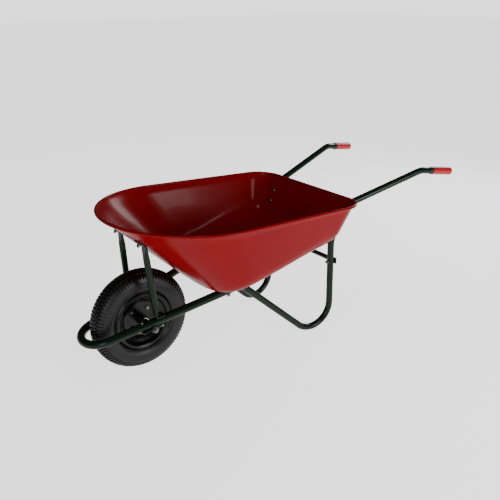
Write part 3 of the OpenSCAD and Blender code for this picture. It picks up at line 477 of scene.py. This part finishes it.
def rounded(path, times):
    """An open path with its inner corners cut round."""
    for _ in range(times):
        cut = [path[0]]
        for a, b in zip(path, path[1:]):
            a, b = np.array(a), np.array(b)
            cut += [a * 0.75 + b * 0.25, a * 0.25 + b * 0.75]
        path = cut + [path[-1]]
    return [np.array(p) for p in path]


RIM_PATH = [(21.1, 0.15), (60, 0.15), (70, 3), (82, 14), (98, 24), (100, 32), (105, 37),
            (112, 37.5), (115, 40)]
middle = rounded(RIM_PATH, 3)
lower, upper = [], []
for i, p in enumerate(middle):
    v = middle[min(i + 1, len(middle) - 1)] - middle[max(i - 1, 0)]
    n = np.array([-v[1], v[0]]) / np.linalg.norm(v)
    lower.append(p)
    upper.append(p + n * 2)
for side, name in ((1, "left"), (-1, "right")):
    profile = [(p[0], side * p[1]) for p in lower + upper[::-1]]
    disc = turned("rim_disc_" + name, profile, 144, 35)
    disc.data.materials.append(rim_black)
    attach(disc, "wheel")
    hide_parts("rim_" + name)

# ---------------------------------------------------------------- grips
# Red PVC sleeves pushed over the tube ends: closed, rounded tips, and four finger
# hollows along the underside.
GRIP_LENGTH, GRIP_R, GRIP_BORE, EDGE = 116.0, 17.5, 14.2, 9.0
HOLLOW, SEAM = 1.9, 0.35   # depths of the finger hollows and of the mould line
grip_vinyl, tree = new_material("moulded red PVC")
where = add(tree, "ShaderNodeTexCoord").outputs["Object"]
grain = add(tree, "ShaderNodeTexNoise", Vector=where, Scale=500.0, Detail=3.0)
fine = add(tree, "ShaderNodeBump", Strength=0.35, Distance=0.0005, Height=grain.outputs["Fac"])
cloud = add(tree, "ShaderNodeTexNoise", Vector=where, Scale=30.0, Detail=3.0)
tint = add(tree, "ShaderNodeMix", {"data_type": "RGBA"}, Factor=cloud.outputs["Fac"],
           i6=hex_colour("#c0141c"), i7=hex_colour("#cc1a22"))
surface = add(tree, "ShaderNodeBsdfPrincipled", Base_Color=tint.outputs[2], Roughness=0.38,
              Normal=fine.outputs["Normal"])
add(tree, "ShaderNodeOutputMaterial", Surface=surface.outputs["BSDF"])

grip_bend = np.array([-1236.0, 289.0, 642.0])
flat_end = GRIP_R - EDGE
lean = math.acos(179 / math.sqrt(179 ** 2 + 21 ** 2 + 27 ** 2))
grip_end = np.array([-1415 + flat_end * math.sin(lean) + EDGE * (1 - math.cos(lean)), 310, 615])
for side, name in ((1, "left"), (-1, "right")):
    flip = np.array([1, side, 1])
    end, way = grip_end * flip, (grip_end - grip_bend) * flip
    way = way / np.linalg.norm(way)
    down = -UP + way * way[2]
    down = down / np.linalg.norm(down)
    level = np.cross(way, down)
    steps = [(0.0, 0.0), (0.0, flat_end)]
    steps += [(EDGE * (1 - math.cos(a)), flat_end + EDGE * math.sin(a))
              for a in np.linspace(0, math.pi / 2, 9)[1:]]
    steps += [(s, GRIP_R) for s in np.linspace(EDGE, GRIP_LENGTH - 2, 70)[1:]]
    steps += [(GRIP_LENGTH - 0.8, GRIP_R - 0.3), (GRIP_LENGTH, GRIP_R - 1.2),
              (GRIP_LENGTH, GRIP_BORE), (5.0, GRIP_BORE), (5.0, 0.0)]
    points, faces, count = [], [], 64
    for number, (back, radius) in enumerate(steps):
        for t in np.linspace(0, 2 * math.pi, count, endpoint=False):
            r = radius
            if 1 < number < len(steps) - 4 and back > 14:
                dip = 0.5 - 0.5 * math.cos(2 * math.pi * (back - 13) / 24.5)
                r -= HOLLOW * dip * max(math.cos(t), 0) ** 0.8
                r -= SEAM * (abs(math.sin(t)) > 0.9985)
            points.append(end - way * back + (down * math.cos(t) + level * math.sin(t)) * r)
    for i in range(len(steps) - 1):
        for j in range(count):
            k = (j + 1) % count
            faces.append((i * count + j, i * count + k, (i + 1) * count + k, (i + 1) * count + j))
    sleeve = place("grip_sleeve_" + name, mesh_from(
        "grip_sleeve_" + name, from_axle(points), faces, 35))
    sleeve.data.materials.append(grip_vinyl)
    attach(sleeve, "barrow_frame")
    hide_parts("grip_" + name)

# ---------------------------------------------------------------- fasteners and axle
# Zinc plated steel: dull, a little uneven, with a cool and a yellow cast.
zinc, tree = new_material("bright zinc plated steel")
where = add(tree, "ShaderNodeTexCoord").outputs["Object"]
cast = add(tree, "ShaderNodeTexNoise", Vector=where, Scale=90.0, Detail=3.0)
tint = add(tree, "ShaderNodeMix", {"data_type": "RGBA"}, Factor=cast.outputs["Fac"],
           i6=hex_colour("#6c7072"), i7=hex_colour("#7c7a70"))
grain = add(tree, "ShaderNodeTexNoise", Vector=where, Scale=900.0, Detail=2.0)
fine = add(tree, "ShaderNodeBump", Strength=0.15, Distance=0.0002, Height=grain.outputs["Fac"])
dull = add(tree, "ShaderNodeMapRange", Value=cast.outputs["Fac"], i1=0.3, i2=0.8, i3=0.2, i4=0.36)
surface = add(tree, "ShaderNodeBsdfPrincipled", Base_Color=tint.outputs[2], Metallic=1.0,
              Roughness=dull.outputs["Result"], Normal=fine.outputs["Normal"])
add(tree, "ShaderNodeOutputMaterial", Surface=surface.outputs["BSDF"])

# Bare drawn wire and ground bearing steel, both hidden for the most part.
bare, tree = new_material("bare drawn and ground steel")
where = add(tree, "ShaderNodeTexCoord").outputs["Object"]
streak = add(tree, "ShaderNodeTexNoise", Vector=where, Scale=300.0, Detail=2.0)
dull = add(tree, "ShaderNodeMapRange", Value=streak.outputs["Fac"], i1=0.3, i2=0.8, i3=0.15, i4=0.3)
surface = add(tree, "ShaderNodeBsdfPrincipled", Base_Color=hex_colour("#b4b6b8"), Metallic=1.0,
              Roughness=dull.outputs["Result"])
add(tree, "ShaderNodeOutputMaterial", Surface=surface.outputs["BSDF"])

# Dark polythene collars ahead of the grips, and the black rubber of seals, inner
# tube and valve.
polythene, tree = new_material("dark green polythene")
where = add(tree, "ShaderNodeTexCoord").outputs["Object"]
grain = add(tree, "ShaderNodeTexNoise", Vector=where, Scale=350.0, Detail=2.0)
fine = add(tree, "ShaderNodeBump", Strength=0.2, Distance=0.0004, Height=grain.outputs["Fac"])
surface = add(tree, "ShaderNodeBsdfPrincipled", Base_Color=hex_colour("#131c17"), Roughness=0.36,
              Normal=fine.outputs["Normal"])
add(tree, "ShaderNodeOutputMaterial", Surface=surface.outputs["BSDF"])

soft_rubber, tree = new_material("black seal rubber")
where = add(tree, "ShaderNodeTexCoord").outputs["Object"]
grain = add(tree, "ShaderNodeTexNoise", Vector=where, Scale=500.0, Detail=2.0)
fine = add(tree, "ShaderNodeBump", Strength=0.2, Distance=0.0004, Height=grain.outputs["Fac"])
surface = add(tree, "ShaderNodeBsdfPrincipled", Base_Color=hex_colour("#171717"), Roughness=0.6,
              Normal=fine.outputs["Normal"])
add(tree, "ShaderNodeOutputMaterial", Surface=surface.outputs["BSDF"])

# ---------------------------------------------------------------- finishes
# Every piece that is shown as built takes the finish of its own material slot.
finish = {"tray_paint": enamel_red, "frame_paint": enamel_green, "rim_paint": rim_black,
          "bare_steel": bare, "bearing_steel": bare, "zinc_plated_steel": zinc,
          "grip_vinyl": grip_vinyl, "collar_plastic": polythene, "tyre_rubber": rubber,
          "black_rubber": soft_rubber, "valve_plastic": soft_rubber}
for part in frame["record"]["subparts"]:
    shown = frame["nodes"][part["node"]]
    shown.data.materials.clear()
    shown.data.materials.append(finish[part["material_slot"]])
